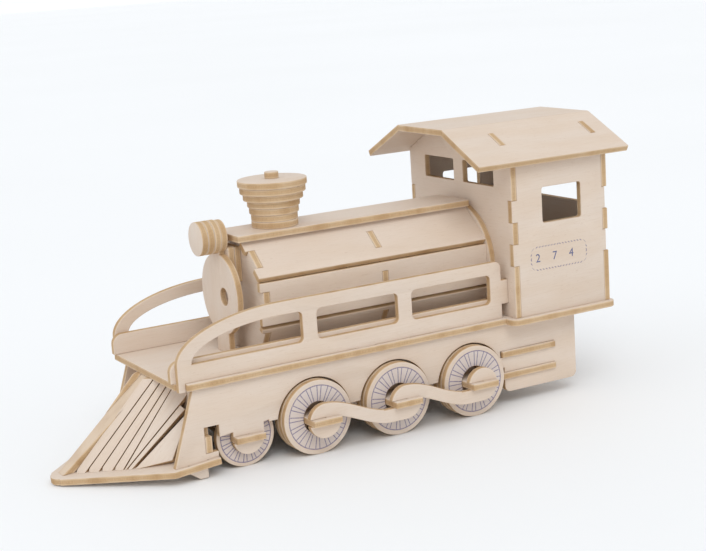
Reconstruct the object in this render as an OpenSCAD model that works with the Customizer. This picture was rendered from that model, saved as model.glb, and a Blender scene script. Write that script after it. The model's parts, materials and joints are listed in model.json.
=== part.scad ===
// Wooden jigsaw model of a steam locomotive, built as flat plywood pieces that slot together.
// The engine faces -X, +Z is up, and the origin is under the middle of the model on the floor.
// Inside the modules x runs back from the front edge of the deck and z up from its top face.

/* [Stock] */
// thickness of the plywood sheet every piece is cut from
ply = 3; // [2.5:0.1:4]
// gap between a tab and its slot
fit_gap = 0.05; // [0.02:0.01:0.2]
// gap between boards that lie flat on each other
glue_gap = 0.04; // [0.02:0.01:0.1]

/* [Deck and railings] */
// half the width of the deck beside the boiler
deck_half = 38; // [36:0.5:44]
// half the width of the deck under the cab
cab_deck_half = 44.5; // [42:0.5:50]
// length of the deck
deck_len = 221.5; // [200:0.5:240]
// distance from the centre line to the outer face of a railing
rail_out = 36; // [34:0.5:37]
// height of a railing above the deck
rail_h = 26.5; // [22:0.5:32]
// height of the bottom edge of the railing openings
bay_low = 7.4; // [5:0.2:10]
// height of the top edge of the railing openings
bay_high = 20.9; // [16:0.2:23]
// height of the kerb inside each railing
kerb_h = 9; // [6:0.2:14]

/* [Running gear] */
// radius of a driving wheel
wheel_r = 16.3; // [14:0.1:17]
// radius of a small front wheel
pony_r = 13.4; // [12:0.1:14.4]
// distance between driving axles
wheel_pitch = 40.4; // [38:0.1:46]
// distance from the deck front to the first driving axle
axle_1_x = 61.8; // [60:0.2:64]
// distance from the deck front to the small front axle
pony_x = 30.3; // [29:0.2:32]
// depth of the driving axles below the deck top
axle_drop = 25.5; // [23:0.1:28]
// gap between a driving wheel and the arch cut for it
arch_gap = 1.5; // [1:0.1:2]
// width of the flat axle strips
strip_w = 13.5; // [9:0.1:13.6]
// clearance between a strip's corners and the round hole in its wheel
run_gap = 0.07; // [0.03:0.01:0.1]
// distance from the centre line to the back face of a driving wheel
wheel_in = 30; // [29.9:0.1:30.4]
// distance from the centre line to the inner face of a coupling rod
rod_in = 43; // [41:0.5:45]
// distance from the centre line to the end of a driving strip
strip_end = 48.5; // [47.5:0.1:48.8]
// radius of the round lobes on the coupling rods
rod_lobe_r = 7.6; // [7:0.1:9]
// width of the wavy links between the lobes
rod_link_w = 6; // [4:0.2:7]

/* [Boiler] */
// height of the top board's upper face
boiler_top = 52.2; // [48:0.2:60]
// half the width of the boiler between its side boards
boiler_half = 25; // [20:0.5:27]
// half the width of the top board
top_half = 12.5; // [11:0.5:18]
// distance from the deck front to the front of the side boards
boiler_x = 45.8; // [44:0.2:50]
// how far the side boards stand forward of the front bulkhead
board_lip = 1.3; // [0.5:0.1:2]
// distance from the deck front to the bulkhead in the middle of the boiler
bulkhead_x = 106; // [90:0.5:130]
// radius of the round flange against the cab
flange_r = 27.5; // [26:0.5:30]

/* [Lamp and chimney] */
// radius of the headlamp discs
lamp_r = 7.4; // [5:0.1:8]
// height of the lamp centre
lamp_z = 51.5; // [48:0.5:56]
// radius of the round smokebox door
door_r = 18; // [14:0.5:20]
// how far the door's hole lies to the left of the middle
door_hole_y = 4.6; // [0:0.2:6]
// distance from the deck front to the chimney centre
chimney_x = 67.5; // [62:0.5:90]
// radius of the chimney's widest disc
chimney_r = 15.3; // [12:0.1:18]

/* [Cab] */
// distance from the deck front to the front of the side walls
cab_x = 168; // [166:0.5:172]
// length of the side walls
cab_len = 48.4; // [44:0.2:50]
// distance from the centre line to the outer face of a side wall
cab_half = 42; // [40:0.5:44]
// height of the roof ridge panel's upper face
roof_top = 87; // [80:0.5:100]
// height of the eaves
eave_z = 72.5; // [66:0.5:80]
// half the width of the flat middle roof panel
ridge_half = 18.8; // [14:0.2:24]
// half the width across the eaves before the board thickness
eave_half = 47.6; // [44:0.2:52]
// distance from the deck front to the front edge of the roof
roof_x0 = 144.7; // [130:0.5:160]
// distance from the deck front to the rear edge of the roof
roof_x1 = 228.6; // [222:0.2:240]

/* [Pilot] */
// distance from the deck front to the tip of the pilot base, measured along the base
pilot_reach = 45; // [38:0.5:52]
// downward tilt of the pilot base in degrees
pilot_tilt = 4.7; // [0:0.1:5]
// number of slats on each side
slats = 6; // [4:1:6]
// half the gap between neighbouring slats
slat_gap = 0.25; // [0.15:0.05:0.5]

/* [Part to draw] */
// one sub-part, or all

/* [Hidden] */
$fn = 96;
face_col = [0.87, 0.80, 0.72];
edge_col = [0.80, 0.70, 0.58];
big = 400;

ground = axle_drop + wheel_r;
tip_x = 5 + (-pilot_reach - 5) * cos(pilot_tilt);
mid_x = (tip_x + roof_x1) / 2;
axle_x = [axle_1_x, axle_1_x + wheel_pitch, axle_1_x + 2 * wheel_pitch];
pony_drop = ground - pony_r;
bore_r = sqrt(pow(strip_w / 2, 2) + pow(ply / 2, 2)) + run_gap;
rail_x0 = 0.8;
rail_x1 = 161.6;
wall_x = cab_x - ply;
flange_x = wall_x - ply;
frame_in = rail_out - ply;
arch_r = wheel_r + arch_gap;
arch_low = 0.8;
leg_x1 = 16;
block_x0 = axle_x[2] + arch_r + 1.0;
block_x1 = 202.5;
block_z = -35.3;
base_top = -34.3;
base_k = tan(pilot_tilt);
frame_low = -23.5;
panel_z = boiler_top - ply;
roof_a = atan2(roof_top - eave_z, eave_half - ridge_half);
roof_under = roof_top - ply / cos(roof_a);
cross_x = 10.3;
ledge_x0 = block_x0 - 1.5;
ledge_x1 = 190;
ledge_z = [-18.6, -28.8];
keel_x0 = 48;
keel_x1 = 200;

// height of the pilot base's upper face at x
function base_z(x) = base_top + (x - 5) * base_k;
// points on an ellipse quarter from its top to its left end
function quarter(cx, cz, a, b, n) = [for (i = [n:-1:0]) [cx - a * cos(90 * i / n), cz + b * sin(90 * i / n)]];
function unit(v) = v / norm(v);

module home() translate([-mid_x, 0, ground]) children();
module left() children();
module right() mirror([0, 1, 0]) children();
// sheet standing along the engine, its outer face at y = -y_out
module along(y_out, t = ply) translate([0, -y_out + t, 0]) rotate([90, 0, 0]) linear_extrude(t) children();
// sheet standing across the engine, its front face at x
module across(x, t = ply) translate([x, 0, 0]) rotate([90, 0, 90]) linear_extrude(t) children();
// rectangle with round corners
module rrect(x0, y0, x1, y1, r) {
    translate([x0 + r, y0]) square([x1 - x0 - 2 * r, y1 - y0]);
    translate([x0, y0 + r]) square([x1 - x0, y1 - y0 - 2 * r]);
    for (x = [x0 + r, x1 - r], y = [y0 + r, y1 - r]) translate([x, y]) circle(r);
}
module rect(x0, y0, x1, y1) translate([x0, y0]) square([x1 - x0, y1 - y0]);

rail_tabs = [[28, 38], [84, 94], [140, 150]];
frame_tabs = [[56, 66], [112, 122], [180, 190]];

// ---------------------------------------------------------------- deck, railings and kerbs
module deck() color(face_col) home() translate([0, 0, -ply]) linear_extrude(ply) difference() {
    union() {
        rect(0, -frame_in, 10, frame_in);
        rect(rail_x0 + ply + fit_gap, -deck_half, wall_x, deck_half);
        rrect(wall_x - 3, -cab_deck_half, deck_len, cab_deck_half, 4);
    }
    for (s = [-1, 1], t = concat(rail_tabs, frame_tabs))
        rect(t[0] - fit_gap, min(s * frame_in, s * rail_out) - fit_gap,
            t[1] + fit_gap, max(s * frame_in, s * rail_out) + fit_gap);
}

module rail_outline() difference() {
    union() {
        polygon(concat([[rail_x0, 0], [rail_x1 - 4, 0], [rail_x1 - 4, rail_h]],
            quarter(50, bay_low, 50 - rail_x0, rail_h - bay_low, 20)));
        rrect(rail_x1 - 30, 0, rail_x1, rail_h, 3);
        rect(rail_x1 - 10, 0, rail_x1, 8);
        rect(rail_x0, -ply - 0.6, rail_x0 + ply, 1);
        rect(rail_x1 - 2, 6.5, cab_x, 17.5);
        for (t = rail_tabs) rect(t[0], -ply, t[1], 1);
    }
    intersection() {
        polygon(concat([[70, bay_low], [70, bay_high]], quarter(50, bay_low, 42.7, bay_high - bay_low, 18)));
        rrect(4, bay_low, 59.2, bay_high + 0.001, 2.2);
    }
    rrect(66.1, bay_low, 106.5, bay_high, 2.2);
    rrect(113.6, bay_low, 155.5, bay_high, 2.2);
}
module rail() along(rail_out) rail_outline();
module rail_left() color(face_col) home() left() rail();
module rail_right() color(face_col) home() right() rail();

kerb_r = 4.5;
module kerb() along(frame_in) {
    rect(kerb_r - 1.3, 0, 160, kerb_h);
    rect(-1.3, 0, kerb_r, kerb_h - kerb_r);
    translate([kerb_r - 1.3, kerb_h - kerb_r]) circle(kerb_r);
}
module kerb_left() color(face_col) home() left() kerb();
module kerb_right() color(face_col) home() right() kerb();

// ---------------------------------------------------------------- frames under the deck
module wheel_arch(x) {
    translate([x, -axle_drop - arch_low]) circle(arch_r);
    rect(x - arch_r, -60, x + arch_r, -axle_drop - arch_low);
}
module side_frame_outline() difference() {
    union() {
        // front leg down to the pilot base
        polygon([[-3.7, base_z(-3.7)], [leg_x1, base_z(leg_x1)], [leg_x1, frame_low - 2],
            [50, frame_low + 2], [50, -ply], [6.8, -ply]]);
        // pointed foot through the pilot base
        polygon([[2.4, -38.2], [7, -41.4], [10.7, -41.4], [10.7, base_z(10.7) + 1], [2.4, base_z(2.4) + 1]]);
        rect(40, frame_low, block_x0 + 5, -ply);
        // deep block under the cab
        rrect(block_x0, block_z, block_x1, -ply - 1, 3);
        rect(block_x0 + 4, -20, block_x1, -ply);
        // lobe that carries the small front axle
        translate([pony_x, -pony_drop]) circle(7.2);
        rect(pony_x - 7.2, -pony_drop, pony_x + 7.2, -pony_drop + 8);
        for (t = frame_tabs) rect(t[0], -ply - 1, t[1], 0);
    }
    for (x = axle_x) wheel_arch(x);
    // notch for the cross plate's tab
    rect(cross_x - fit_gap, -31 - fit_gap, leg_x1 + 1, -20);
    // slot for the small axle, open to the front
    rect(pony_x - 12, -pony_drop - ply / 2 - fit_gap, pony_x + fit_gap, -pony_drop + ply / 2 + fit_gap);
    // slots for the two rear boards, open to the wheel arch
    for (z = ledge_z) rect(block_x0 - 2, z - fit_gap, ledge_x1 + fit_gap, z + ply + fit_gap);
}
module side_frame_left() color(face_col) home() left() along(rail_out) side_frame_outline();
module side_frame_right() color(face_col) home() right() along(rail_out) side_frame_outline();

module inner_frame_outline() difference() {
    rrect(keel_x0, -32, keel_x1, -ply, 1.5);
    for (x = axle_x) rect(x - strip_w / 2 - fit_gap, -axle_drop - ply / 2 - fit_gap,
        x + strip_w / 2 + fit_gap, -axle_drop + ply / 2 + fit_gap);
    for (z = ledge_z) rect(ledge_x0 - fit_gap, z - fit_gap, ledge_x1 + fit_gap, z + ply + fit_gap);
}
module inner_frame_left() color(face_col) home() left() along(wheel_in - 0.4) inner_frame_outline();
module inner_frame_right() color(face_col) home() right() along(wheel_in - 0.4) inner_frame_outline();

module rear_board(z) translate([ledge_x0, -rail_out - 1.2, z])
    cube([ledge_x1 - ledge_x0, 2 * rail_out + 2.4, ply]);
module rear_cross_boards() color(face_col) home() for (z = ledge_z) rear_board(z);

// ---------------------------------------------------------------- pilot
module pilot_base() color(face_col) home() difference() {
    translate([5, 0, base_top]) rotate([0, -pilot_tilt, 0]) translate([-5, 0, -ply]) linear_extrude(ply) {
        polygon([[-pilot_reach + 2, -5.4], [-5, -deck_half], [leg_x1, -deck_half],
            [leg_x1, deck_half], [-5, deck_half], [-pilot_reach + 2, 5.4]]);
        rect(-pilot_reach + 5.5, -5.6, -pilot_reach + 9, 5.6);
        translate([-pilot_reach + 6.5, 0]) circle(6.5);
    }
    for (s = [-1, 1]) translate([2.4 - 0.3, s * (rail_out - ply / 2) - ply / 2 - fit_gap, -50])
        cube([8.3 + 0.6, ply + 2 * fit_gap, 30]);
}
module pilot_cross_plate() color(face_col) home() across(cross_x) {
    rect(-frame_in, base_z(cross_x + ply) + 0.02, frame_in, -ply);
    rect(-rail_out - 0.4, -31, rail_out + 0.4, -24);
}
// outline set on a sloping line from foot to head, its outer face turned up and outwards
module leaning(foot, head, side, grow = 0) {
    d = unit(head - foot);
    w = unit(side - (side * d) * d);
    n = cross(w, d);
    translate(foot) rotate([atan2(-w[2], n[2]), -asin(d[2]), atan2(d[1], d[0])])
        translate([0, 0, -ply - grow]) linear_extrude(ply + 2 * grow) children();
}
nose_x = -40.8;
nose_foot = 3.3;
nose_head = 7.2;
// the slats and the cheek of one side lie in one plane, from the foot line to the deck
row_foot_a = [-37.5, -3.3];
row_foot_b = [-16.4, -19.9];
row_head = [0.8, -8.5];
cheek_heel = [-2.2, -29.4];
cheek_apex = [6.4, -24.2];
head_x = 0.8;
// where each gap between slats starts on the foot line, from 0 to 1, and the [x, y] it runs to
gap_foot = [0.05, 0.244, 0.462, 0.68, 0.858, 0.906, 1];
gap_head = [[-1.6, -5.3], [-0.1, -8.6], [1.9, -11.2], [4.2, -13.7], [5.9, -15.7], [7.5, -21.2], [6.9, -23.4]];
// point on the base at [x, y]
function on_base(p) = [p[0], p[1], base_z(p[0])];
fan_a = on_base(row_foot_a);
fan_b = on_base(row_foot_b);
fan_n = cross(fan_b - fan_a, [row_head[0], row_head[1], -ply] - fan_a);
// point of the side's plane at [x, y]
function on_fan(p) = [p[0], p[1],
    fan_a[2] - (fan_n[0] * (p[0] - fan_a[0]) + fan_n[1] * (p[1] - fan_a[1])) / fan_n[2]];
// foot and head of the line between two slats
function foot_at(i) = fan_a + gap_foot[i] * (fan_b - fan_a);
function head_at(i) = on_fan(gap_head[i]);
// keeps a leaning piece between the deck, the base, the cross plate and the side frames
module pilot_room(y_in) intersection() {
    translate([-100, -frame_in + 0.1, -60]) cube([100 + cross_x - 0.2, frame_in - 0.1 - y_in, 60 - ply - 0.02]);
    translate([5, 0, base_top + 0.02]) rotate([0, -pilot_tilt, 0])
        translate([-150, -100, 0]) cube([200, 200, 80]);
    union() children();
}
// flat board between two leaning lines, given as [foot, head]
module fan_board(a, b, over = 5, grow = 0) {
    foot = (a[0] + b[0]) / 2;
    d = unit((a[1] + b[1]) / 2 - foot);
    s = b[0] - a[0] + b[1] - a[1];
    w = unit(s - (s * d) * d);
    low = abs((b[0] - a[0]) * w) / 2 - slat_gap + grow;
    high = abs((b[1] - a[1]) * w) / 2 - slat_gap + grow;
    len = norm((a[1] + b[1]) / 2 - foot);
    leaning(foot, foot + d, w, grow) {
        translate([low * 0.6, 0]) circle(low);
        polygon([[low * 0.6, -low], [len, -high], [len + over, -high],
            [len + over, high], [len, high], [low * 0.6, low]]);
    }
}
module nose_board(grow = 0) fan_board([on_base([nose_x, nose_foot]), [head_x, nose_head, -ply]],
    [on_base([nose_x, -nose_foot]), [head_x, -nose_head, -ply]], grow = grow);
module pilot_slats() for (i = [0:slats - 1]) pilot_room(0.12) difference() {
    fan_board([foot_at(i), head_at(i)], [foot_at(i + 1), head_at(i + 1)], i < 5 ? 5 : 0);
    if (i < 2) nose_board(0.1);
}
module pilot_slats_left() color(face_col) home() left() pilot_slats();
module pilot_slats_right() color(face_col) home() right() pilot_slats();
module pilot_nose_slat() color(face_col) home() pilot_room(-20) nose_board();
module pilot_cheek() pilot_room(0.12) {
    foot = foot_at(len(gap_foot) - 1) + 0.03 * (fan_b - fan_a);
    head = on_fan(cheek_apex);
    side = on_fan(cheek_heel) - foot;
    d = unit(head - foot);
    w = unit(side - (side * d) * d);
    leaning(foot, head, side) polygon([[0, -0.2], [side * d, -(side * w)], [norm(head - foot), -2],
        [norm(head - foot), -0.2]]);
}
module pilot_cheek_left() color(face_col) home() left() pilot_cheek();
module pilot_cheek_right() color(face_col) home() right() pilot_cheek();

// ---------------------------------------------------------------- axles, rods and wheels
module strip(x, drop, y_end, notch_in) translate([x, 0, -drop - ply / 2]) linear_extrude(ply) difference() {
    rect(-strip_w / 2, -y_end, strip_w / 2, y_end);
    for (s = [-1, 1]) rect(0, min(s * notch_in, s * (notch_in + ply)) - fit_gap,
        strip_w, max(s * notch_in, s * (notch_in + ply)) + fit_gap);
}
module pony_axle_strip() color(face_col) home() strip(pony_x, pony_drop, 38.6, frame_in);
module driving_strip_front() color(face_col) home() strip(axle_x[0], axle_drop, strip_end, rod_in);
module driving_strip_middle() color(face_col) home() strip(axle_x[1], axle_drop, strip_end, rod_in);
module driving_strip_rear() color(face_col) home() strip(axle_x[2], axle_drop, strip_end, rod_in);

link_rise = rod_lobe_r - rod_link_w / 2;
link_n = 24;
function link_mid(s) = link_rise * cos(180 * min(1, s / 0.82));
module coupling_rod_outline() difference() {
    union() {
        for (x = axle_x) translate([x, -axle_drop]) circle(rod_lobe_r);
        for (k = [0, 1]) polygon(concat(
            [for (i = [0:link_n]) [axle_x[k] + wheel_pitch * i / link_n,
                -axle_drop + link_mid(i / link_n) - rod_link_w / 2]],
            [for (i = [link_n:-1:0]) [axle_x[k] + wheel_pitch * i / link_n,
                -axle_drop + link_mid(i / link_n) + rod_link_w / 2]]));
    }
    for (x = axle_x) rect(x - rod_lobe_r - 4, -axle_drop - ply / 2 - fit_gap,
        x + fit_gap, -axle_drop + ply / 2 + fit_gap);
}
module coupling_rod_left() color(face_col) home() left() along(rod_in + ply) coupling_rod_outline();
module coupling_rod_right() color(face_col) home() right() along(rod_in + ply) coupling_rod_outline();

module wheel_disc(x, drop, r, y_out) along(y_out) translate([x, -drop]) difference() {
    circle(r, $fn = 128);
    circle(bore_r, $fn = 128);
}
module driving_wheel(k) for (i = [1:3])
    wheel_disc(axle_x[k], axle_drop, wheel_r, wheel_in + i * ply + (i - 1) * glue_gap);
module pony_wheel() wheel_disc(pony_x, pony_drop, pony_r, frame_in - 0.6);
module pony_wheel_left() color(face_col) home() left() pony_wheel();
module pony_wheel_right() color(face_col) home() right() pony_wheel();
module driving_wheel_left_front() color(face_col) home() left() driving_wheel(0);
module driving_wheel_left_middle() color(face_col) home() left() driving_wheel(1);
module driving_wheel_left_rear() color(face_col) home() left() driving_wheel(2);
module driving_wheel_right_front() color(face_col) home() right() driving_wheel(0);
module driving_wheel_right_middle() color(face_col) home() right() driving_wheel(1);
module driving_wheel_right_rear() color(face_col) home() right() driving_wheel(2);

// ---------------------------------------------------------------- boiler
// corners of the boards' outer faces on one side, as [y, z]
up_a = [9, panel_z];
up_b = [boiler_half, panel_z - 13.9];
up_d = unit(up_b - up_a);
up_n = [-up_d[1], up_d[0]];
up_len = norm(up_b - up_a);
side_hi = (up_b - ply * up_n)[1] - 0.04;
side_lo = 14.3;
low_a = 60;
low_in = [boiler_half - ply, side_lo - 0.05];
low_d = [-cos(low_a), -sin(low_a)];
low_n = [sin(low_a), -cos(low_a)];
low_len = 14;
up_off = up_n * (up_b - ply * up_n);
tab_l = 9.6;
flange_z = 23;

// board lying on one side of the boiler: from point p along d, inner face on the line
module slab(p, d, n, l) polygon([p, p + l * d, p + l * d + ply * n, p + ply * n]);
module tab_on(p, d, n, l, reach = ply) translate(p) polygon([(l - tab_l) / 2 * d - n, (l + tab_l) / 2 * d - n,
    (l + tab_l) / 2 * d + reach * n, (l - tab_l) / 2 * d + reach * n]);
up_p = up_a - ply * up_n;
module upper_tab(g = 0) translate([0, 0]) tab_on(up_p, up_d, up_n, up_len, ply + g);
module side_tab(g = 0) tab_on([boiler_half - ply, side_hi], [0, -1], [1, 0], side_hi - side_lo - 1, ply + g);
module lower_tab(g = 0) tab_on(low_in, low_d, low_n, low_len, ply + g);
module bulkhead_half() {
    polygon([[0, 0], low_in + low_d * low_in[1] / sin(low_a), low_in,
        [boiler_half - ply, (up_off - up_n[0] * (boiler_half - ply)) / up_n[1]],
        [(up_off - up_n[1] * panel_z) / up_n[0], panel_z], [0, panel_z]]);
    upper_tab();
    side_tab();
    lower_tab();
}
module bulkhead(x) across(x) {
    bulkhead_half();
    mirror([1, 0]) bulkhead_half();
    rect(-4, 1, 4, 3);
}
module boiler_bulkhead_front() color(face_col) home() bulkhead(boiler_x + board_lip);
module boiler_bulkhead_middle() color(face_col) home() bulkhead(bulkhead_x);
module boiler_flange() color(face_col) home() across(flange_x) intersection() {
    translate([0, flange_z]) circle(flange_r, $fn = 160);
    rect(-40, 0, 40, 80);
}
module boiler_top_board() color(face_col) home()
    translate([boiler_x - 2.5, -top_half, panel_z]) cube([flange_x - boiler_x + 2.5, 2 * top_half, ply]);

module tab_room(x) translate([x - fit_gap, 0, 0]) across(0, ply + 2 * fit_gap) children();
module boiler_board() difference() {
    across(boiler_x, flange_x - boiler_x) children(0);
    tab_room(bulkhead_x) children(1);
    translate([-board_lip, 0, 0]) tab_room(boiler_x + board_lip) children(1);
    tab_room(boiler_x + board_lip) children(1);
}
module wide_tab(p, d, n, l) translate(p) polygon([((l - tab_l) / 2 - fit_gap) * d - 2 * n,
    ((l + tab_l) / 2 + fit_gap) * d - 2 * n, ((l + tab_l) / 2 + fit_gap) * d + 5 * n,
    ((l - tab_l) / 2 - fit_gap) * d + 5 * n]);
module upper_board() boiler_board() {
    slab(up_p, up_d, up_n, up_len);
    wide_tab(up_p, up_d, up_n, up_len);
}
module side_board() boiler_board() {
    slab([boiler_half - ply, side_hi], [0, -1], [1, 0], side_hi - side_lo);
    wide_tab([boiler_half - ply, side_hi], [0, -1], [1, 0], side_hi - side_lo - 1);
}
module lower_board() boiler_board() {
    slab(low_in, low_d, low_n, low_len);
    wide_tab(low_in, low_d, low_n, low_len);
}
module boiler_upper_board_right() color(face_col) home() upper_board();
module boiler_upper_board_left() color(face_col) home() mirror([0, 1, 0]) upper_board();
module boiler_side_board_right() color(face_col) home() side_board();
module boiler_side_board_left() color(face_col) home() mirror([0, 1, 0]) side_board();
module boiler_lower_board_right() color(face_col) home() lower_board();
module boiler_lower_board_left() color(face_col) home() mirror([0, 1, 0]) lower_board();

// ---------------------------------------------------------------- smokebox front, lamp and chimney
door_z = 26;
door_x = boiler_x + board_lip - 3 * ply;
module smokebox_door() color(face_col) home() across(door_x) difference() {
    union() {
        translate([0, door_z]) circle(door_r);
        rect(-6, 0, 6, door_z);
        rect(-2.8, door_z, 2.8, lamp_z);
        translate([0, lamp_z]) circle(lamp_r - 0.3);
    }
    translate([-door_hole_y, door_z - 0.5]) circle(3.9);
}
module smokebox_spacers() color(face_col) home() for (i = [0, 1])
    across(door_x + ply + i * (ply + glue_gap / 2), ply - glue_gap) rrect(-6, 31, 6, panel_z - 2.5, 1);
module lamp_discs() color(face_col) home() for (i = [1:3]) across(door_x - i * (ply + glue_gap))
    translate([0, lamp_z]) circle(lamp_r);
chimney_k = [1, 0.95, 0.866, 0.76, 0.716, 0.672, 0.672];
// disc number i of the chimney, counted from the top
module chimney_disc(i) color(face_col) home()
    translate([chimney_x, 0, boiler_top + (7 - i) * ply]) cylinder(r = chimney_r * chimney_k[i - 1], h = ply);
module chimney_rim() chimney_disc(1);
module chimney_disc_2() chimney_disc(2);
module chimney_disc_3() chimney_disc(3);
module chimney_disc_4() chimney_disc(4);
module chimney_disc_5() chimney_disc(5);
module chimney_disc_6() chimney_disc(6);
module chimney_foot() chimney_disc(7);
module chimney_knob() color(face_col) home()
    translate([chimney_x, 0, boiler_top + 7 * ply]) cylinder(r = 3.1, h = ply);

// ---------------------------------------------------------------- cab
fingers = [[24, 34], [44, 54]];
function under_at(y) = y < ridge_half ? roof_top - ply : roof_under - (y - ridge_half) * tan(roof_a);
module wall_outline() {
    for (m = [0, 1]) mirror([m, 0]) {
        polygon([[0, 0], [cab_half, 0], [cab_half, under_at(cab_half)], [ridge_half, roof_under],
            [ridge_half, roof_top - ply], [0, roof_top - ply]]);
        polygon([[26, under_at(26) - 2], [35, under_at(35) - 2], [35, under_at(35) + ply + 0.6],
            [26, under_at(26) + ply + 0.6]]);
    }
}
module finger_cut() for (s = [-1, 1], f = fingers)
    rect(min(s * (cab_half - ply), s * 60) - fit_gap, f[0] - fit_gap,
        max(s * (cab_half - ply), s * 60) + fit_gap, f[1] + fit_gap);
module cab_front_wall() color(face_col) home() across(wall_x) difference() {
    wall_outline();
    finger_cut();
    for (s = [-1, 1]) {
        rrect(min(s * 3.8, s * 28.5), 59.4, max(s * 3.8, s * 28.5), 69.7, 0.8);
        rect(min(s * frame_in, s * rail_out) - fit_gap, 6.5 - fit_gap,
            max(s * frame_in, s * rail_out) + fit_gap, 17.5 + fit_gap);
    }
}
module cab_rear_wall() color(face_col) home() across(cab_x + cab_len) difference() {
    wall_outline();
    finger_cut();
    rrect(-26, 45.6, 26, 62, 3);
}
module cab_side() along(cab_half) difference() {
    union() {
        rect(cab_x, 0, cab_x + cab_len, under_at(cab_half) - 0.02);
        for (f = fingers) rect(wall_x, f[0], cab_x + cab_len + ply - 1.3, f[1]);
    }
    rrect(cab_x + 14, 41.9, cab_x + 36, 58.3, 1.2);
}
module cab_side_left() color(face_col) home() left() cab_side();
module cab_side_right() color(face_col) home() right() cab_side();

roof_len = roof_x1 - roof_x0;
module roof_middle() color(face_col) home()
    translate([roof_x0, -ridge_half, roof_top - ply]) cube([roof_len, 2 * ridge_half, ply]);
module roof_slope() difference() {
    across(roof_x0, roof_len) polygon([[ridge_half + 0.02, roof_top], [eave_half, eave_z],
        [eave_half - ply * sin(roof_a), eave_z - ply * cos(roof_a)], [ridge_half + 0.02, roof_under]]);
    for (x = [wall_x, cab_x + cab_len]) translate([x - fit_gap, 26 - fit_gap, 50])
        cube([ply + 2 * fit_gap, 9 + 2 * fit_gap, 60]);
}
module roof_slope_right() color(face_col) home() roof_slope();
module roof_slope_left() color(face_col) home() mirror([0, 1, 0]) roof_slope();

deck();
rail_left();
rail_right();
kerb_left();
kerb_right();
side_frame_left();
side_frame_right();
inner_frame_left();
inner_frame_right();
pilot_base();
pilot_cross_plate();
pilot_nose_slat();
pilot_slats_left();
pilot_slats_right();
pilot_cheek_left();
pilot_cheek_right();
rear_cross_boards();
pony_axle_strip();
driving_strip_front();
driving_strip_middle();
driving_strip_rear();
coupling_rod_left();
coupling_rod_right();
pony_wheel_left();
pony_wheel_right();
driving_wheel_left_front();
driving_wheel_left_middle();
driving_wheel_left_rear();
driving_wheel_right_front();
driving_wheel_right_middle();
driving_wheel_right_rear();
boiler_bulkhead_front();
boiler_bulkhead_middle();
boiler_flange();
boiler_top_board();
boiler_upper_board_left();
boiler_upper_board_right();
boiler_side_board_left();
boiler_side_board_right();
boiler_lower_board_left();
boiler_lower_board_right();
smokebox_door();
smokebox_spacers();
lamp_discs();
chimney_rim();
chimney_disc_2();
chimney_disc_3();
chimney_disc_4();
chimney_disc_5();
chimney_disc_6();
chimney_foot();
chimney_knob();
cab_front_wall();
cab_rear_wall();
cab_side_left();
cab_side_right();
roof_middle();
roof_slope_left();
roof_slope_right();
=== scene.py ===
# %% [markdown]
# # A wooden jigsaw locomotive
# The model is a pile of birch plywood pieces, pressed out of flat sheets and slotted together.
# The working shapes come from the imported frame. Here every piece of that frame gets its softened
# edges and its plywood finish, and the printed marks go on. We start by loading the frame and
# keeping its box, so that the finished model can be compared with it at the end.

# %% Load the frame
import json
import math
import random

import bmesh
import bpy
import numpy as np
from mathutils import Matrix, Vector

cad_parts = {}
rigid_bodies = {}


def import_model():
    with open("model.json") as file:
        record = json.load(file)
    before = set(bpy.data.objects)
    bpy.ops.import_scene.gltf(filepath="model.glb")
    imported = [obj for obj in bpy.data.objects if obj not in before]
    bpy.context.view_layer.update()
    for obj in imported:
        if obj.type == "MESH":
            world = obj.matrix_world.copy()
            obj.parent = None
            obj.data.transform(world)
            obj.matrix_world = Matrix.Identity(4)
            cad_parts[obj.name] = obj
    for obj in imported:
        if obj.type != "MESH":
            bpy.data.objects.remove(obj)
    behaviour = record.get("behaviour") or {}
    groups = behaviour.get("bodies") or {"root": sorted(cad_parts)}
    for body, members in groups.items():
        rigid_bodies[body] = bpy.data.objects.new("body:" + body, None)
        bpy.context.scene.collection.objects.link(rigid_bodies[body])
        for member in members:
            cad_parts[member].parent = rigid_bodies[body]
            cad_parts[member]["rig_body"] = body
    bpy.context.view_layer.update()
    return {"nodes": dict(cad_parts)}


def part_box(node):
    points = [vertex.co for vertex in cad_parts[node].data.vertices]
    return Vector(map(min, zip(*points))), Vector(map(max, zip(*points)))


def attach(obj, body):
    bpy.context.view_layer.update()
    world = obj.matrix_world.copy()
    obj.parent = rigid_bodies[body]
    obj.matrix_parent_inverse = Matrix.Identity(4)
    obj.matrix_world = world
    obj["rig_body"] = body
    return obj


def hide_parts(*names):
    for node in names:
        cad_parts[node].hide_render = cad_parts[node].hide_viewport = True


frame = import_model()
MM = 0.001

# %% [markdown]
# ## Where we stand
# A product shot of a small model is taken from a little above, with a longish lens so that the
# parallel boards stay nearly parallel. We place the camera by the point it looks at, a distance,
# an azimuth, an elevation and a small roll, because those are easy to reason about, and turn
# them into a matrix with three cross products.

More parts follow.
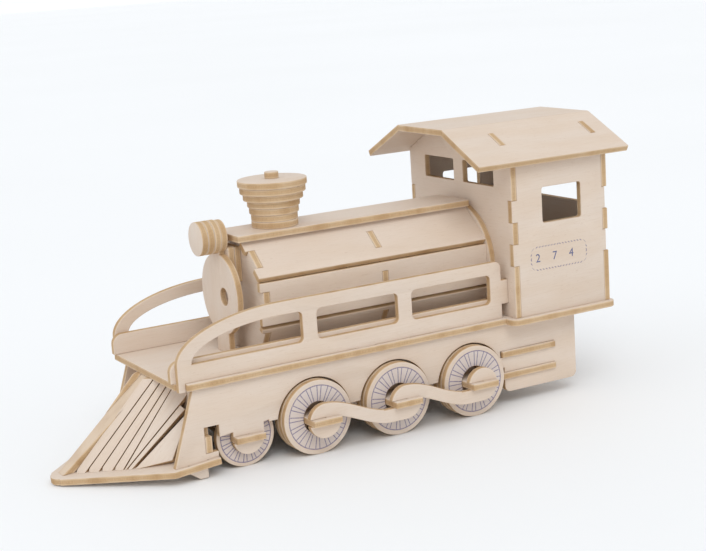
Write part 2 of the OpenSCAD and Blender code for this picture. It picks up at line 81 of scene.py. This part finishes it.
# %% Camera
LOOK_AT = Vector((18.084, 0, 71.716)) * MM
DISTANCE = 689.97 * MM
SENSOR, LENS = 36, 77.07
SHIFT = (-0.0120, -0.0218)
AZIMUTH, ELEVATION, ROLL = math.radians(-29.595), math.radians(11.279), math.radians(-3.667)
back = Vector((math.sin(AZIMUTH) * math.cos(ELEVATION), -math.cos(AZIMUTH) * math.cos(ELEVATION),
               math.sin(ELEVATION)))
side = Vector((0, 0, 1)).cross(back).normalized()
up = back.cross(side)
side, up = (side * math.cos(ROLL) + up * math.sin(ROLL),
            up * math.cos(ROLL) - side * math.sin(ROLL))
camera_data = bpy.data.cameras.new("camera")
camera_data.sensor_width, camera_data.lens = SENSOR, LENS
camera_data.shift_x, camera_data.shift_y = SHIFT
camera_data.clip_start, camera_data.clip_end = 0.01, 60
camera = bpy.data.objects.new("camera", camera_data)
bpy.context.scene.collection.objects.link(camera)
camera.matrix_world = Matrix.Translation(LOOK_AT + back * DISTANCE) @ Matrix(
    (side, up, back)).transposed().to_4x4()
bpy.context.scene.camera = camera
print("camera at", [round(c, 3) for c in camera.matrix_world.translation])

# %% [markdown]
# ## A table top and soft light
# Bare plywood is matt and pale, and a white table throws a lot of light back up. So the shading is
# mostly soft: a bright, slightly cool surround, with a broad sun-like key from above the camera
# and a weak lamp from the front of the engine. A key with parallel rays lights the whole table
# evenly, where a near lamp would leave its far side grey.

# %% Floor
FLOOR_HALF, RIM_RISE = 12, 1.5


def pale_floor(size, rim):
    """A wide table whose outermost ring rises a little, so that no horizon shows."""
    bm = bmesh.new()
    bmesh.ops.create_grid(bm, x_segments=8, y_segments=8, size=size)
    bmesh.ops.translate(bm, vec=(0, 0, rim), verts=[v for v in bm.verts if v.is_boundary])
    mesh = bpy.data.meshes.new("floor")
    bm.to_mesh(mesh)
    bm.free()
    floor = bpy.data.objects.new("floor", mesh)
    bpy.context.scene.collection.objects.link(floor)
    return floor


floor = pale_floor(FLOOR_HALF, RIM_RISE)
print("floor is", floor.dimensions.x, "m wide")

# %% Lamps and surround
def soft_key(name, azimuth, elevation, spread, strength, colour):
    """A sun with a wide disc: parallel light with soft-edged shadows."""
    a, e = math.radians(azimuth), math.radians(elevation)
    away = Vector((math.sin(a) * math.cos(e), -math.cos(a) * math.cos(e), math.sin(e)))
    data = bpy.data.lights.new(name, "SUN")
    data.angle, data.energy, data.color = math.radians(spread), strength, colour
    lamp = bpy.data.objects.new(name, data)
    bpy.context.scene.collection.objects.link(lamp)
    lamp.location = LOOK_AT + away
    lamp.rotation_mode = "QUATERNION"
    lamp.rotation_quaternion = (-away).to_track_quat("-Z", "Y")
    print(name, "light of strength", strength)


soft_key("key", -20, 50, 34, 0.92, (0.95, 0.98, 1.0))
soft_key("front", -80, 24, 50, 0.16, (0.97, 0.98, 1.0))
SURROUND_COLOUR, SURROUND_STRENGTH = (0.945, 0.970, 1.0, 1), 0.86
world = bpy.data.worlds.new("surround")
world.use_nodes = True
surround = world.node_tree.nodes["Background"].inputs
surround["Color"].default_value = SURROUND_COLOUR
surround["Strength"].default_value = SURROUND_STRENGTH
bpy.context.scene.world = world
bpy.context.scene.view_settings.view_transform = "Standard"

# %% [markdown]
# ## Writing a finish as arithmetic
# A material in Blender is a graph of nodes. Graphs are tedious to write out one link at a time,
# so a tiny class wraps the output of a node and turns + - * / and a comparison into Math nodes.
# Colours and vectors must not pass through a Math node, which would turn them grey, so they go
# through Mix and Vector Math nodes, made by the one general method.

# %% Wire and Finish
class Wire:
    """The output of a shader node; arithmetic on it adds Math nodes."""

    def __init__(self, finish, socket):
        self.finish, self.socket = finish, socket

    def math(self, operation, *others):
        return self.finish.node("Math", {"operation": operation}, {0: self, **{
            i + 1: o for i, o in enumerate(others)}})

    def __add__(self, o): return self.math("ADD", o)
    __radd__ = __add__
    def __mul__(self, o): return self.math("MULTIPLY", o)
    __rmul__ = __mul__
    def __sub__(self, o): return self.math("SUBTRACT", o)
    def __rsub__(self, o): return self.finish.node(
        "Math", {"operation": "SUBTRACT"}, {0: o, 1: self})
    def __truediv__(self, o): return self.math("DIVIDE", o)
    def __gt__(self, o): return self.math("GREATER_THAN", o)
    def __abs__(self): return self.math("ABSOLUTE")
    def low(self, o): return self.math("MINIMUM", o)
    def high(self, o): return self.math("MAXIMUM", o)
    def fract(self): return self.math("FRACT")
    def clamp(self): return self.high(0.0).low(1.0)
    def ramp(self, start, end):
        """0 at start, 1 at end, straight between, whichever is the larger."""
        return ((self - start) / (end - start)).clamp()


class Finish:
    """A material under construction."""

    def __init__(self, name):
        self.material = bpy.data.materials.new(name)
        self.material.use_nodes = True
        self.tree = self.material.node_tree
        self.tree.nodes.clear()

    def node(self, kind, settings=None, values=None, out=0):
        made = self.tree.nodes.new("ShaderNode" + kind)
        for key, value in (settings or {}).items():
            setattr(made, key, value)
        for key, value in (values or {}).items():
            socket = made.inputs[key]
            if isinstance(value, Wire):
                self.tree.links.new(value.socket, socket)
            else:
                socket.default_value = value
        return Wire(self, made.outputs[out]) if len(made.outputs) else None

    def vector(self, x, y, z):
        return self.node("CombineXYZ", {}, {0: x, 1: y, 2: z})

    def attribute(self, name):
        """The three parts of a vector attribute."""
        whole = self.node("Attribute", {"attribute_name": name}, out=1)
        parts = self.node("SeparateXYZ", {}, {0: whole}).socket.node.outputs
        return [Wire(self, part) for part in parts]

    def mix(self, share, a, b):
        a, b = [c if isinstance(c, Wire) else (*c, 1) for c in (a, b)]
        return self.node("Mix", {"data_type": "RGBA"}, {0: share, 6: a, 7: b}, 2)

    def noise(self, where, scale=1.0, detail=3.0, roughness=0.5):
        return self.node("TexNoise", {}, {"Vector": where, "Scale": scale, "Detail": detail,
                                          "Roughness": roughness})

    def done(self, **inputs):
        shader = self.node("BsdfPrincipled", {}, inputs)
        self.node("OutputMaterial", {}, {"Surface": shader})
        return self.material


print("arithmetic for finishes is ready")

# %% [markdown]
# ## Birch plywood
# Thin birch plywood is three sheets of veneer glued crosswise. Its face is pale, slightly pink,
# with hair-fine fibres along the grain, a slow cloudy figure and a few darker flecks. Its cut
# edge shows the outer sheets as tan lines, a browner core between them that is seen end-on, and
# two thin glue lines. So the finish needs to know, at each point, how far it is along the grain,
# across the grain and through the sheet. Every piece carries that as an attribute called ply,
# in millimetres, which moves and turns with the piece. A second attribute, tone, is one
# number per piece, because no two pieces of a sheet are quite the same shade.

# %% Face of the sheet
SHEET = 3.0


def face_colour(f, along, across, tone):
    """Colour of the outer veneer, and the height of its fibres for the bump."""
    figure = f.noise(f.vector(along * 0.022, across * 0.09, tone * 31.0), detail=4.0)
    fibres = f.noise(f.vector(along * 0.11, across * 2.6, tone * 17.0), detail=5.0, roughness=0.65)
    hairs = f.noise(f.vector(along * 0.5, across * 9.0, tone * 11.0), detail=2.0)
    cream = f.mix(tone, (0.715, 0.608, 0.515), (0.695, 0.572, 0.470))
    cloudy = f.mix(figure.ramp(0.38, 0.68) * 0.70, cream, (0.672, 0.532, 0.412))
    lined = f.mix(fibres.ramp(0.48, 0.72) * 0.36, cloudy, (0.585, 0.440, 0.318))
    fleck_place = f.noise(f.vector(along * 0.45, across * 3.4, tone * 5.0), detail=1.0)
    flecks = fleck_place.ramp(0.70, 0.78) * 0.45
    pores = f.mix(flecks, lined, (0.470, 0.310, 0.200))
    # painted sheen: faint lighter streaks along the fine fibres, a highlight painted into the colour
    painted_sheen = f.mix(hairs.ramp(0.60, 0.80) * 0.16, pores, (0.780, 0.695, 0.620))
    return painted_sheen, fibres + hairs * 0.4


# %% Cut edge of the sheet
CORE_HALF = 0.60


def edge_colour(f, along, across, depth, tone):
    """Colour of the cut edge, with its three veneers and two glue lines, and its height."""
    patch = f.noise(f.vector(along * 0.10, across * 0.10, tone * 13.0), detail=2.0)
    saw = f.noise(f.vector(along * 2.2, across * 2.2, depth * 0.7), detail=3.0)
    middle = abs(depth - SHEET / 2)
    core = 1 - middle.ramp(CORE_HALF - 0.10, CORE_HALF + 0.02)
    glue = 1 - abs(middle - CORE_HALF).ramp(0.03, 0.13)
    outer = f.mix(patch.ramp(0.35, 0.70), (0.640, 0.472, 0.298), (0.545, 0.360, 0.185))
    inner = f.mix(saw.ramp(0.35, 0.65), (0.530, 0.346, 0.182), (0.395, 0.222, 0.094))
    layered = f.mix(core * 0.55, outer, inner)
    glued = f.mix(glue * 0.38, layered, (0.270, 0.150, 0.070))
    scorched = f.mix(patch.ramp(0.52, 0.74) * 0.30, glued, (0.300, 0.165, 0.080))
    return scorched, saw - glue * 0.5


# %% The plywood finish
FIBRE_HEIGHT = 0.12 * MM


def birch(name, print_on=None):
    """Birch plywood; print_on(f, colour, tone) may add printed marks to the face."""
    f = Finish(name)
    along, across, depth = f.attribute("ply")
    tone = f.node("Attribute", {"attribute_name": "tone"}, out=2)
    face, fibres = face_colour(f, along, across, tone)
    edge, saw = edge_colour(f, along, across, depth, tone)
    if print_on:
        face = print_on(f, face)
    cut = depth.low(SHEET - depth).ramp(0.06, 0.34)
    touch = f.noise(f.vector(along * 0.035, across * 0.035, tone * 7.0), detail=2.0)
    handled = touch.ramp(0.45, 0.75)
    colour = f.mix(handled * 0.10, f.mix(cut, face, edge), (0.560, 0.400, 0.280))
    bump = f.node("Bump", {}, {"Height": fibres * (1 - cut) + saw * cut * 1.6,
                               "Strength": 0.35, "Distance": FIBRE_HEIGHT})
    rough = 0.52 + fibres * 0.10 + cut * 0.14 - handled * 0.05
    return f.done(**{"Base Color": colour, "Roughness": rough.clamp(), "Normal": bump,
                     "Specular IOR Level": 0.32})


board_birch = birch("birch_ply")
print("plywood finish has", len(board_birch.node_tree.nodes), "nodes")

# %% [markdown]
# ## Printed wheels
# The wheels' spokes aren't cut out. They are printed in thin violet-blue ink on the outer face:
# a ring near the rim, and pairs of straight lines that run in from it to the hole, on a slightly
# cooler ground. Ink has no thickness to speak of, so it belongs in the finish. A third attribute,
# mark, gives each point of a wheel its distance across and up from the axle, and how far it lies
# under the outer face.

# %% Ink on the wheels
INK = (0.105, 0.090, 0.215)
PAIRS = 16
PAIR_HALF = 0.19      # half the space between the lines of a pair, as a share of a pair's turn
FIRST_PAIR = 40.25    # a small turn of the ring, and whole turns that keep the value positive
SKIN = (-0.10, -0.04)  # mm from the outer face: no ink below the first, all of it above the second


def spokes(ring):
    """Printing for a wheel whose ring has this radius in mm."""
    def print_on(f, face):
        x, z, under = f.attribute("mark")
        radius = (x * x + z * z).math("SQRT")
        turn = (x.math("ARCTAN2", z) * (PAIRS / (2 * math.pi)) + FIRST_PAIR).fract()
        gap = abs(abs(turn - 0.5) - PAIR_HALF)
        width = gap * radius * (2 * math.pi / PAIRS)
        lines = 1 - width.ramp(0.10, 0.30)
        circle = 1 - abs(radius - ring).ramp(0.12, 0.34)
        inside = 1 - radius.ramp(ring - 0.1, ring + 0.1)
        uneven = f.noise(f.vector(x * 1.3, z * 1.3, 0.0), detail=3.0).ramp(0.25, 0.60)
        outer_face = under.ramp(*SKIN)
        ground = f.mix(inside * outer_face * 0.40, face, (0.600, 0.560, 0.590))
        ink = (lines * inside).high(circle) * outer_face * (0.45 + uneven * 0.45)
        return f.mix(ink, ground, INK)
    return print_on


DRIVING_RING, PONY_RING = 14.0, 11.6
driving_birch = birch("birch_ply_driving_wheel", spokes(DRIVING_RING))
pony_birch = birch("birch_ply_pony_wheel", spokes(PONY_RING))
print("printed rings at", DRIVING_RING, "and", PONY_RING, "mm")

# %% [markdown]
# ## The number frame
# Each cab side has a small number in a dotted frame with rounded ends. The frame is the outline
# of a rounded box, which is easy to write as a distance: how far a point lies outside the box
# once the box is shrunk by its corner radius. The dots come from cutting that line up along
# both directions at once.

# %% Ink on the cab sides
FRAME_HALF = (15.8, 5.3)
FRAME_CORNER = 3.6
DOTS_PER_MM = 0.59


def dotted_frame(f, face):
    x, z, under = f.attribute("mark")
    inner_x, inner_z = [abs(c) - (half - FRAME_CORNER) for c, half in zip((x, z), FRAME_HALF)]
    over_x, over_z = inner_x.high(0.0), inner_z.high(0.0)
    away = (over_x * over_x + over_z * over_z).math("SQRT")
    line = 1 - abs(away - FRAME_CORNER).ramp(0.22, 0.40)
    dots = abs(((abs(x) + abs(z)) * DOTS_PER_MM).fract() - 0.5).ramp(0.26, 0.16)
    shown = line * dots * (inner_x.high(inner_z) > 0.0) * under.ramp(*SKIN)
    return f.mix(shown * 0.72, face, INK)


cab_birch = birch("birch_ply_cab_side", dotted_frame)
print("number frame is", 2 * FRAME_HALF[0], "by", 2 * FRAME_HALF[1], "mm")

# %% [markdown]
# ## From frame node to finished piece
# A node of the frame has the right shape but sharp edges, and its mesh is loose triangles. Real
# die-cut plywood has slightly crushed edges that catch the light. So each node is copied, its
# corners are merged, its flat triangles are dissolved into whole faces, and the outer edges
# are bevelled by a third of a millimetre. A narrow tongue or an acute corner can't take that
# much, so the bevel is tried again, narrower, until cutting the faces into triangles adds no
# area, which shows that no face has folded over itself. Tiny slanting edges at a corner, which
# would trip the bevel, are closed up first.

# %% Merge and dissolve
SAME_CORNER, FLAT = 0.003 * MM, math.radians(0.6)
CRUMB, BOARD_EDGE, FOLD = 0.18 * MM, 0.5 * MM, 0.8


def is_crumb(e):
    """True for a tiny edge at the end of a long sharp one that it meets at a slant."""
    if e.calc_length() >= CRUMB:
        return False
    along = (e.verts[0].co - e.verts[1].co).normalized()
    for v in e.verts:
        for other in v.link_edges:
            slant = abs((v.co - other.other_vert(v).co).normalized().dot(along))
            if (other is not e and abs(slant - 0.5) < 0.46 and other.calc_face_angle(0) > FOLD
                    and other.calc_length() > BOARD_EDGE):
                return True
    return False


def whole_faces(node):
    """A bmesh of the node with merged corners, whole faces, and no crumbs at its corners."""
    bm = bmesh.new()
    bm.from_mesh(frame["nodes"][node].data)
    bmesh.ops.remove_doubles(bm, verts=bm.verts, dist=SAME_CORNER)
    bmesh.ops.dissolve_limit(bm, angle_limit=FLAT, use_dissolve_boundaries=False,
                             verts=bm.verts, edges=bm.edges)
    bmesh.ops.collapse(bm, edges=[e for e in bm.edges if is_crumb(e)], uvs=False)
    return bm


# %% Bevel, as wide as stays clean
BEVEL_WIDTHS = (0.34, 0.26, 0.18, 0.12, 0.08, 0.05)
CRISP = math.radians(50)
FOLDED_MOST = 4e-5


def softened(node):
    """The node with softened outer edges, by the widest bevel that doesn't run into itself."""
    for width in BEVEL_WIDTHS:
        bm = whole_faces(node)
        crisp = [e for e in bm.edges if len(e.link_faces) == 2 and e.is_convex
                 and e.calc_face_angle(0) > CRISP]
        bmesh.ops.bevel(bm, geom=crisp, offset=width * MM, offset_type="OFFSET", segments=2,
                        profile=0.5, affect="EDGES", material=-1, clamp_overlap=False)
        area = sum(face.calc_area() for face in bm.faces)
        bmesh.ops.triangulate(bm, faces=[f for f in bm.faces if len(f.verts) > 4])
        folded = sum(face.calc_area() for face in bm.faces) / area - 1
        if folded < FOLDED_MOST or width == BEVEL_WIDTHS[-1]:
            break
        bm.free()
    bm.normal_update()
    print(f"  bevel {width} mm, folded {folded * 1e6:.0f} in a million", end="; ")
    return bm


# %% [markdown]
# Next each solid of a piece is measured. Its sheet direction is the one that most of its surface
# faces, as long as the solid is one sheet thick that way, since a slat can be narrower than
# that. Its grain runs the long way of the board, found as the widest spread of its corners. For
# the boards of the pilot, which lean at odd angles, this is far safer than typing angles in.

# %% Solids of a piece
def solids(bm):
    """The separate shells of a bmesh, each as a list of faces."""
    bm.faces.ensure_lookup_table()
    left, shells = set(bm.faces), []
    while left:
        shell, edge_of_search = [], [left.pop()]
        while edge_of_search:
            face = edge_of_search.pop()
            shell.append(face)
            for e in face.edges:
                for other in e.link_faces:
                    if other in left:
                        left.remove(other)
                        edge_of_search.append(other)
        shells.append(shell)
    return shells


SPAN_SLACK, OTHER_WAY = 0.08, 0.02    # mm, and the weight of a direction of another thickness


def sheet_axes(shell):
    """Grain, cross and sheet directions of one solid."""
    totals = {}
    for face in shell:
        n = face.normal.copy()
        if tuple(round(c, 3) for c in n) < (0, 0, 0):
            n.negate()
        key = (round(n.x, 1), round(n.y, 1), round(n.z, 1))
        area, total = totals.get(key, (0.0, Vector()))
        totals[key] = (area + face.calc_area(), total + n * face.calc_area())
    points = np.array([v.co for v in {v for face in shell for v in face.verts}])

    def likely(entry):
        span = np.ptp(points @ np.array(entry[1].normalized())) / MM
        return entry[0] * (1.0 if abs(span - SHEET) < SPAN_SLACK else OTHER_WAY)

    through = max(totals.values(), key=likely)[1].normalized()
    flat = points - points.mean(0)
    flat = flat - np.outer(flat @ np.array(through), np.array(through))
    values, vectors = np.linalg.eigh(flat.T @ flat)
    grain = Vector(vectors[:, int(np.argmax(values))]).normalized()
    return grain, through.cross(grain), through


# %% Attributes for the finish
SHEET_LENGTH = 900    # mm of veneer that a piece may have been cut from


def carry_ply(bm, seed):
    """Writes ply and tone on every corner; returns the sheet thickness found for each solid."""
    ply = bm.verts.layers.float_vector.new("ply")
    tone = bm.verts.layers.float.new("tone")
    rng = random.Random(seed)
    found = []
    for shell in solids(bm):
        grain, cross, through = sheet_axes(shell)
        corners = {v for face in shell for v in face.verts}
        lowest = min(v.co.dot(through) for v in corners)
        found.append(max(v.co.dot(through) for v in corners) - lowest)
        shift = rng.uniform(0, SHEET_LENGTH), rng.uniform(0, SHEET_LENGTH)
        shade = rng.random()
        for v in corners:
            v[ply] = Vector((v.co.dot(grain) / MM + shift[0], v.co.dot(cross) / MM + shift[1],
                             (v.co.dot(through) - lowest) / MM))
            v[tone] = shade
    return found


def carry_mark(bm, centre, side_sign):
    """Writes mark: distances from centre along x and z, and how far under the outer face, in mm."""
    mark = bm.verts.layers.float_vector.new("mark")
    outer = max(v.co.y * side_sign for v in bm.verts)
    for v in bm.verts:
        v[mark] = Vector(((v.co.x - centre[0]) / MM, (v.co.z - centre[2]) / MM,
                          (v.co.y * side_sign - outer) / MM))


# %% Finished piece
SHARP = math.radians(20)


def finished(node, material, centre=None):
    """The finished piece for a frame node, riding on the node's own body."""
    bm = softened(node)
    found = carry_ply(bm, node)
    if centre is not None:
        carry_mark(bm, centre, 1 if centre[1] > 0 else -1)
    for face in bm.faces:
        face.smooth = True
    mesh = bpy.data.meshes.new("finished_" + node)
    bm.to_mesh(mesh)
    bm.free()
    mesh.set_sharp_from_angle(angle=SHARP)
    mesh.materials.append(material)
    piece = bpy.data.objects.new("finished_" + node, mesh)
    bpy.context.scene.collection.objects.link(piece)
    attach(piece, frame["nodes"][node]["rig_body"])
    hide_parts(node)
    low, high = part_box(node)
    over = max(max(low[i] - min(v.co[i] for v in mesh.vertices),
                   max(v.co[i] for v in mesh.vertices) - high[i]) for i in range(3))
    print(f"{node}: {len(found)} solid(s), sheet {min(found) / MM:.2f} to {max(found) / MM:.2f} mm, "
          f"{len(mesh.polygons)} faces, {over / MM:+.3f} mm past its node")
    return piece


# %% [markdown]
# ## The wheels and the cab sides
# These carry print, so they are finished first, each with its own centre: the axle for a wheel,
# and the middle of the number frame for a cab side.

# %% Wheels
printed = {}
for node in frame["nodes"]:
    if "wheel" in node:
        low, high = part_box(node)
        finish = pony_birch if node.startswith("pony") else driving_birch
        printed[node] = finished(node, finish, (low + high) / 2)

# %% Cab sides
NUMBER_MIDDLE = Vector((98.6, -42.0, 67.65)) * MM
for node in ("cab_side_left", "cab_side_right"):
    low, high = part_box(node)
    middle = Vector((NUMBER_MIDDLE.x, (low.y + high.y) / 2, NUMBER_MIDDLE.z))
    printed[node] = finished(node, cab_birch, middle)

# %% [markdown]
# ## All the plain boards
# Everything else is plain plywood. The same steps serve each node, and the name of the node
# seeds its shade and its place in the sheet, so the model comes out the same every time.

# %% Plain boards
boards = {node: finished(node, board_birch)
          for node in sorted(frame["nodes"]) if node not in printed}
print(len(boards), "plain pieces and", len(printed), "printed ones")

# %% [markdown]
# ## The number itself
# The digits are printed too, but their shapes come from type, which is simplest to get as text.
# A text object is turned into a mesh straight away, a hundredth of a millimetre thick, and only
# then put in its place on the wall, so that its object stays at the origin.

# %% Digits
ink = Finish("number_ink")
blot = ink.noise(ink.node("TexCoord", out=3), scale=2600.0, detail=2.0)
blotted = ink.mix(blot.ramp(0.3, 0.7), (0.050, 0.060, 0.150), (0.130, 0.150, 0.300))
number_ink = ink.done(**{"Base Color": blotted, "Roughness": 0.45 + blot * 0.2})
INK_THICK, CAPITAL = 0.01 * MM, 1.38    # the type size is this much more than a digit's height


def digit(character, height, place, facing_left):
    """The mesh of a printed digit, standing on the cab wall."""
    text = bpy.data.curves.new("digit", "FONT")
    text.body, text.size, text.extrude = character, height * CAPITAL, INK_THICK
    text.align_x, text.align_y = "CENTER", "CENTER"
    holder = bpy.data.objects.new("digit", text)
    bpy.context.scene.collection.objects.link(holder)
    bpy.context.view_layer.update()
    shaped = holder.evaluated_get(bpy.context.evaluated_depsgraph_get())
    mesh = bpy.data.meshes.new_from_object(shaped)
    bpy.data.objects.remove(holder)
    turn = Matrix.Rotation(math.radians(90), 4, "X")
    if not facing_left:
        turn = Matrix.Rotation(math.radians(180), 4, "Z") @ turn
    mesh.transform(Matrix.Translation(place) @ turn)
    return mesh


# %% Number plates in place
DIGITS, SPACING, DIGIT_HEIGHT = "274", 9.5 * MM, 4.0 * MM
CLEAR, AHEAD = 0.015 * MM, 2.5 * MM    # off the wall, and from the middle towards the first digit
for wall, sign in (("cab_side_left", -1), ("cab_side_right", 1)):
    low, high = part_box(wall)
    y = low.y - CLEAR if sign < 0 else high.y + CLEAR
    bm = bmesh.new()
    for i, character in enumerate(DIGITS):
        x = NUMBER_MIDDLE.x - sign * (i - 1) * SPACING + sign * AHEAD
        place = Vector((x, y, NUMBER_MIDDLE.z))
        bm.from_mesh(digit(character, DIGIT_HEIGHT, place, sign < 0))
    bmesh.ops.remove_doubles(bm, verts=bm.verts, dist=1e-7)
    mesh = bpy.data.meshes.new("printed_number_" + wall)
    bm.to_mesh(mesh)
    bm.free()
    mesh.materials.append(number_ink)
    number = bpy.data.objects.new("printed_number_" + wall, mesh)
    bpy.context.scene.collection.objects.link(number)
    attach(number, frame["nodes"][wall]["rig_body"])
    print(number.name, "has", len(mesh.polygons), "faces")

# %% [markdown]
# ## The finish of the floor
# The table is plain, but a dead flat colour looks like cut-out paper. A very slow cloud of two
# nearly equal whites is enough.

# %% Floor finish
paper = Finish("pale_floor")
cloud = paper.noise(paper.node("TexCoord", out=3), scale=1.5, detail=2.0)
floor.data.materials.append(paper.done(**{
    "Base Color": paper.mix(cloud, (0.93, 0.93, 0.93), (0.89, 0.89, 0.885)), "Roughness": 0.7}))
